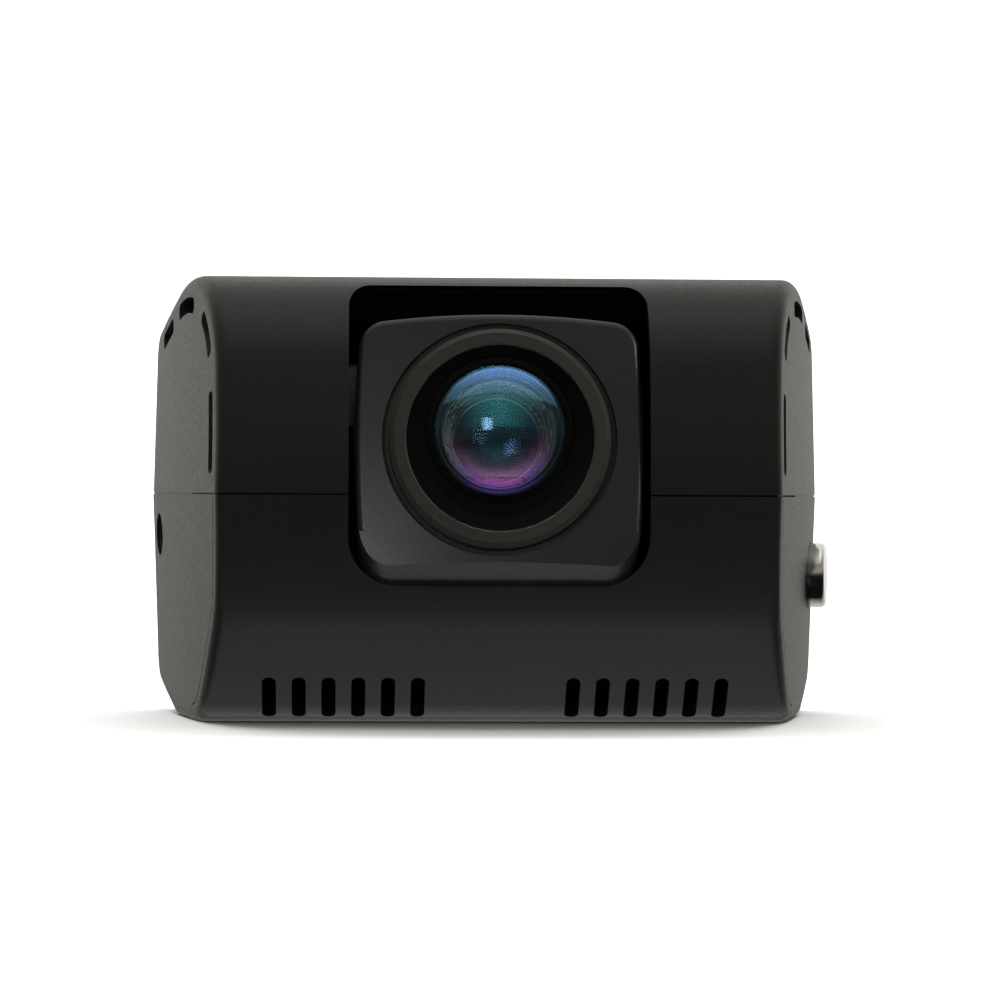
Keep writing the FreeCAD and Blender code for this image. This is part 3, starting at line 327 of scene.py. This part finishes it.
def turned_piece(name, profile, material, closed=False):
    """A turned piece about the optical axis, from (radius, ahead) points; it rides the lens unit."""
    build = bmesh.new()
    turns = [2 * math.pi * spoke / SPOKES for spoke in range(SPOKES)]
    loops = []
    for radius, ahead in profile:
        if radius == 0:
            loops.append([build.verts.new(on_lens(0, OPTIC_RISE, ahead))] * SPOKES)
            continue
        spots = [(radius * math.cos(turn), OPTIC_RISE + radius * math.sin(turn)) for turn in turns]
        loops.append([build.verts.new(on_lens(across, up, ahead)) for across, up in spots])
    pairs = list(zip(loops, loops[1:]))
    if closed:
        pairs.append((loops[-1], loops[0]))
    for inner, outer in pairs:
        for spoke in range(SPOKES):
            following = (spoke + 1) % SPOKES
            corners = []
            for vert in (inner[spoke], outer[spoke], outer[following], inner[following]):
                if vert not in corners:
                    corners.append(vert)
            build.faces.new(corners)
    bmesh.ops.recalc_face_normals(build, faces=build.faces)
    piece = add_object(name, build, material)
    piece.data.shade_smooth()
    piece.data.set_sharp_from_angle(angle=SHARP_ANGLE)
    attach(piece, "lens_unit")
    return piece


def bowed(clear, height, rise, steps=20):
    """The (radius, ahead) points of a curved face, from its rim to a middle that is ahead by rise."""
    bend = (clear ** 2 + rise ** 2) / (2 * abs(rise))
    points = []
    for step in range(steps + 1):
        radius = clear * (1 - step / steps)
        fall = bend - math.sqrt(bend ** 2 - radius ** 2)
        points.append((radius, height + rise - math.copysign(fall, rise)))
    return points


def make_lens(
    node_name, radius, low, high, front_sag, rear_sag, land, material, rear_material=None
):
    """The polished form of a lens node, on the node's own radii and heights in mm."""
    front = bowed(radius - land, high, front_sag)
    rear = bowed(radius - land, low, -rear_sag)
    profile = rear[::-1] + [(radius, low), (radius, high)] + front
    piece = turned_piece("polished_" + node_name, profile, material)
    if rear_material:
        piece.data.materials.append(rear_material)
        for polygon in piece.data.polygons:
            if polygon.normal.dot(LENS_AXIS) < -0.5:
                polygon.material_index = 1
    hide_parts(node_name)
    return piece


def make_coating():
    """The coated inner face behind the front glass: a shallow bowl that opens forwards."""
    edge, rim_ahead, hollow = 4.85, 8.0, 0.916
    bowl = bowed(edge, rim_ahead, -hollow)
    return turned_piece("lens_coating", bowl, coating_material())


def rim_painted_reflection_material():
    """The dark paint round the glass, with a painted reflection in its colour: violet low down, a
    little green above it, black elsewhere.
    """
    material, tree, shader = new_material("rim_paint_painted_reflection")
    # Painted reflection: the violet low down and the green above it stand in for the coating's
    # reflections; only the black is the paint's own colour.
    link(tree, ramp(tree, height_on_lens(tree, 6), [
        (0.0, (0.11, 0.03, 0.3)), (0.09, (0.06, 0.016, 0.17)),
        (0.2, (0.008, 0.012, 0.012)), (0.35, (0.003, 0.003, 0.003)),
    ]), shader.inputs["Base Color"])
    shader.inputs["Roughness"].default_value = 0.5
    shader.inputs["Specular IOR Level"].default_value = 0.1
    return material


def make_lips():
    """The fine machined edges that show through the glass as pale rings."""
    rings = []
    for radius, ahead, half in ((4.0, 3.1, 0.05), (4.98, 8.16, 0.035), (5.45, 8.5, 0.04)):
        corners = [(radius + half * math.cos(a), ahead + half * math.sin(a))
                   for a in (2 * math.pi * k / 8 for k in range(8))]
        name = f"machined_edge_{len(rings)}"
        rings.append(turned_piece(name, corners, edge_metal, closed=True))
    return rings


LOOKS = {
    case_plastic: ["upper_housing", "lower_housing", "lower_front_cover", "bracket_rail"],
    rear_plastic: ["rear_cover"],
    block_plastic: ["lens_carriage"],
    ring_metal: ["lens_trim_ring"],
    cone_black: ["lens_barrel", "lens_bezel", "lens_retainer", "friction_washers", "lens_cradle"],
    inner_black: ["recess_shroud", "lens_holder", "speaker", "aperture_plate", "av_jack"],
    spacer_metal: ["lens_spacer"],
    lens_glass: ["front_lens"],
    inner_glass: ["second_lens", "third_lens", "rear_lens"],
    filter_glass: ["ir_filter"],
    chrome: ["power_button"],
    key_plastic: ["menu_button", "up_button", "down_button", "ok_button"],
    screen_pane: ["screen_window", "lcd_module"],
    board_green: ["main_board", "sensor_board"],
    chip_plastic: ["board_chips", "image_sensor", "key_switches", "power_switch", "microphone"],
    sink_metal: ["heat_sink"],
    socket_metal: ["usb_socket", "card_socket"],
    card_plastic: ["memory_card"],
    battery_wrap: ["battery"],
    screw_steel: ["case_screws", "cradle_screws", "board_screws", "holder_screws", "pivot_pins"],
    light_guide: ["status_light"],
    ribbon_film: ["sensor_ribbon"],
}
for material, names in LOOKS.items():
    for name in names:
        mesh = nodes[name].data
        mesh.materials.clear()
        mesh.materials.append(material)


# Where the lower housing's rim and cheeks lie, and the cross-section of the strips in the seam.
SEAM_RIM = 21.23 * MM
SEAM_LOW = SEAM_RIM - 0.03 * MM
SEAM_HIGH = SEAM_LOW + 0.2 * MM
SEAM_OUTER = 0.12 * MM
SEAM_INNER = SEAM_OUTER + 0.4 * MM
CHEEK_FROM, CHEEK_TO, CHEEK_OUT = -9 * MM, 16.6 * MM, 20 * MM


def seam_strip(name, side):
    """The tongue's face along one cheek, just under the skin, so that no light passes the joint."""
    rim = sorted(
        (vert.co.y, side * vert.co.x) for vert in nodes["lower_housing"].data.vertices
        if abs(vert.co.z - SEAM_RIM) < 0.02 * MM
        and side * vert.co.x > CHEEK_OUT and CHEEK_FROM < vert.co.y < CHEEK_TO
    )
    outline = []
    for spot in rim:
        while len(outline) > 1:
            (y0, x0), (y1, x1) = outline[-2:]
            if (x1 - x0) * (spot[0] - y0) > (spot[1] - x0) * (y1 - y0):
                break
            outline.pop()
        outline.append(spot)
    build = bmesh.new()
    rows = []
    for y, x in outline:
        corners = ((x - SEAM_OUTER, SEAM_LOW), (x - SEAM_OUTER, SEAM_HIGH),
                   (x - SEAM_INNER, SEAM_HIGH), (x - SEAM_INNER, SEAM_LOW))
        rows.append([build.verts.new((side * across, y, up)) for across, up in corners])
    for here, there in zip(rows, rows[1:]):
        for k in range(4):
            build.faces.new((here[k], here[(k + 1) % 4], there[(k + 1) % 4], there[k]))
    for end in (rows[0], rows[-1]):
        build.faces.new(end)
    bmesh.ops.recalc_face_normals(build, faces=build.faces)
    piece = add_object(name, build, case_plastic)
    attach(piece, "case")


seam_strip("seam_strip_right", 1)
seam_strip("seam_strip_left", -1)

# ---------------------------------------------------------------- stage

FLOOR_HALF, BEND_START, FLOOR_BEND, BACKDROP_TOP = 2.0, 0.35, 0.25, 1.8  # metres


def make_floor():
    """A pale floor that curves up into a backdrop far behind the camera's subject."""
    build = bmesh.new()
    profile = [(-FLOOR_HALF, 0.0), (BEND_START, 0.0)]
    for step in range(1, 13):
        angle = math.radians(90 * step / 12)
        profile.append(
            (BEND_START + FLOOR_BEND * math.sin(angle), FLOOR_BEND * (1 - math.cos(angle)))
        )
    profile.append((BEND_START + FLOOR_BEND, BACKDROP_TOP))
    rows = []
    for y, z in profile:
        rows.append([build.verts.new((x, y, z)) for x in (-FLOOR_HALF, FLOOR_HALF)])
    for low, high in zip(rows, rows[1:]):
        build.faces.new((low[0], low[1], high[1], high[0]))
    material, tree, shader = new_material("paper")
    fibre = noise(tree, 40, detail=3)
    link(tree, ramp(tree, fibre, [(0.3, grey(0.86)), (0.7, grey(0.88))]), shader.inputs["Base Color"])
    shader.inputs["Roughness"].default_value = 0.9
    shader.inputs["Specular IOR Level"].default_value = 0.1
    floor = add_object("floor", build, material)
    floor.data.shade_smooth()
    floor.visible_glossy = False
    return floor


def aim(item, target):
    item.rotation_euler = (Vector(target) - item.location).to_track_quat("-Z", "Y").to_euler()


def area_light(name, spot, target, size, power, colour=(1, 1, 1)):
    light = bpy.data.lights.new(name, "AREA")
    light.shape = "RECTANGLE"
    light.size, light.size_y = size
    light.energy = power
    light.color = colour
    item = bpy.data.objects.new(name, light)
    item.location = spot
    scene.collection.objects.link(item)
    aim(item, target)
    return item


floor = make_floor()
MIDDLE = (0, 0, 0.02)


def only_for(light, name, items):
    """Keeps a light to the given objects."""
    group = bpy.data.collections.new(name)
    for item in items:
        group.objects.link(item)
    light.light_linking.receiver_collection = group


floor_light = area_light("floor_light", (0, 0.12, 0.6), MIDDLE, (0.8, 0.6), 3.0)
back_light = area_light("backdrop_light", (0, 0.2, 0.62), (0, 0.6, 0.05), (0.9, 0.2), 5.0)
for light in (floor_light, back_light):
    only_for(light, light.name + "_floor", [floor])

# Three low reflectors, such as a white table gives, light the chin of the case and the lip under
# the lens block. Two small glows light the block's left side and its edges.
CASE_NODES = ["upper_housing", "lower_housing", "lower_front_cover"]
BLOCK_NODES = ["lens_carriage", "lens_trim_ring"]
chin_light = area_light("chin_light", (0, -0.034, 0.002), (0, -0.034, 1), (0.12, 0.024), 0.002)
under_light = area_light("under_light", (0, -0.0135, 0.0004), (0, -0.0135, 1), (0.056, 0.016), 0.0014)
lip_light = area_light("lip_light", (0, -0.021, -0.03), (0, -0.0145, 0.0145), (0.09, 0.03), 0.006)
left_glow = area_light("left_glow", (-0.1, -0.3, 0.02), PIVOT, (0.05, 0.05), 0.2)
edge_glow = area_light("edge_glow", (0.25, -0.14, 0.14), PIVOT, (0.06, 0.14), 0.22)
RECEIVERS = (
    (chin_light, CASE_NODES), (under_light, CASE_NODES), (lip_light, ["lens_carriage"]),
    (left_glow, ["lens_carriage"]), (edge_glow, BLOCK_NODES),
)
for light, names in RECEIVERS:
    light.visible_camera = False
    only_for(light, light.name + "_nodes", [nodes[name] for name in names])
lip_light.light_linking.blocker_collection = lip_light.light_linking.receiver_collection

# The glass has its own softboxes, which light nothing else, so that the case stays dark.
coating = make_coating()
front_glass = make_lens("front_lens", 6.0, 8.2, 10.1, 1.35, -1.7, 0.1, lens_glass, rear_face_glass)
inner_lenses = [
    make_lens("second_lens", 5.1, 1.9, 2.9, 0.5, 0.3, 0.6, inner_glass),
    make_lens("third_lens", 5.1, -1.6, 0.9, -0.5, 0.4, 0.8, inner_glass),
]
# A dark ring round the glass whose colour holds a painted reflection, violet low down and a little
# green above.
rim_with_painted_reflection = turned_piece(
    "rim_with_painted_reflection", [(5.0, 8.17), (5.86, 8.19)], rim_painted_reflection_material()
)
GLASS = [coating, front_glass, rim_with_painted_reflection, *inner_lenses, *make_lips()]
GLASS_LIGHT_FAR = 0.3  # metres from the lens


def glass_light(name, azimuth, elevation, size, radiance, stops, items=None, faded=False):
    """A softbox for the glass alone: its colour runs up it, and it may fade towards its sides."""
    side, rise = math.radians(azimuth), math.radians(elevation)
    level = math.cos(rise)
    towards = Vector((math.sin(side) * level, -math.cos(side) * level, math.sin(rise)))
    lens_face = on_lens(0, 0, 9)
    light = area_light(name, lens_face + towards * GLASS_LIGHT_FAR, lens_face, size, 1.0)
    light.data.energy = radiance * math.pi * size[0] * size[1]
    only_for(light, name + "_glass", items or GLASS)
    light.data.use_nodes = True
    tree = light.data.node_tree
    place = tree.nodes.new("ShaderNodeNewGeometry")
    split = tree.nodes.new("ShaderNodeSeparateXYZ")
    link(tree, place.outputs["Parametric"], split.inputs["Vector"])
    link(tree, ramp(tree, split.outputs["Y"], stops), tree.nodes["Emission"].inputs["Color"])
    if faded:
        fade = ramp(tree, split.outputs["X"], [(0.0, grey(0)), (0.5, grey(1)), (1.0, grey(0))])
        link(tree, fade, tree.nodes["Emission"].inputs["Strength"])


glass_light("crescent_light", 0, 56, (0.8, 0.12), 12.0,
            [(0.0, (0.1, 0.17, 0.13)), (0.4, (0.17, 0.24, 0.22)), (1.0, (0.62, 0.72, 1.0))])
glass_light("low_light", 1, 31, (0.36, 0.14), 4.2,
            [(0.0, (0.12, 0.4, 0.32)), (1.0, (0.26, 0.8, 0.56))], faded=True)
glass_light("spark_light", -8.5, 20, (0.055, 0.05), 15.0,
            [(0.0, (0.9, 0.95, 1.0)), (1.0, (0.9, 0.95, 1.0))], items=[front_glass], faded=True)


def make_world():
    """A dim room: darker in front and below, bright overhead, pale behind; plain white to look at."""
    world = bpy.data.worlds.new("studio")
    world.use_nodes = True
    tree = world.node_tree
    room = tree.nodes["Background"]
    place = tree.nodes.new("ShaderNodeTexCoord")
    split = tree.nodes.new("ShaderNodeSeparateXYZ")
    link(tree, place.outputs["Generated"], split.inputs["Vector"])
    rise = between(tree, split.outputs["Z"], 0, 1, (-1, 1))
    front = ramp(tree, rise, [
        (0.0, grey(0.004)), (0.42, (0.004, 0.004, 0.005)), (0.5, grey(0.014)),
        (0.56, (0.1, 0.095, 0.08)), (0.62, (0.2, 0.19, 0.165)), (0.8, (0.16, 0.15, 0.13)),
        (1.0, (0.66, 0.65, 0.62)),
    ])
    rear = ramp(tree, rise, [
        (0.44, (0.38, 0.38, 0.34)), (0.53, (0.66, 0.67, 0.62)), (1.0, (0.5, 0.5, 0.47)),
    ])
    depth = between(tree, split.outputs["Y"], 0, 1, (0.0, 0.7))
    mix = tree.nodes.new("ShaderNodeMix")
    mix.data_type = "RGBA"
    link(tree, depth, mix.inputs["Factor"])
    link(tree, front, mix.inputs["A"])
    link(tree, rear, mix.inputs["B"])
    link(tree, mix.outputs["Result"], room.inputs["Color"])
    room.inputs["Strength"].default_value = 1.5
    white = tree.nodes.new("ShaderNodeBackground")
    path = tree.nodes.new("ShaderNodeLightPath")
    choose = tree.nodes.new("ShaderNodeMixShader")
    link(tree, path.outputs["Is Camera Ray"], choose.inputs["Fac"])
    link(tree, room.outputs["Background"], choose.inputs[1])
    link(tree, white.outputs["Background"], choose.inputs[2])
    link(tree, choose.outputs["Shader"], tree.nodes["World Output"].inputs["Surface"])
    white.inputs["Color"].default_value = (1, 1, 1, 1)
    scene.world = world


make_world()

# ---------------------------------------------------------------- camera

camera_data = bpy.data.cameras.new("camera")
camera_data.sensor_width = 36
camera_data.lens = 133.88
camera_data.clip_start = 0.01
camera = bpy.data.objects.new("camera", camera_data)
camera.location = (-0.01513, -0.35202, 0.0217)
camera.rotation_euler = (math.radians(89.853), math.radians(-0.27), math.radians(-2.579))
scene.collection.objects.link(camera)
scene.camera = camera
scene.view_settings.view_transform = "Standard"
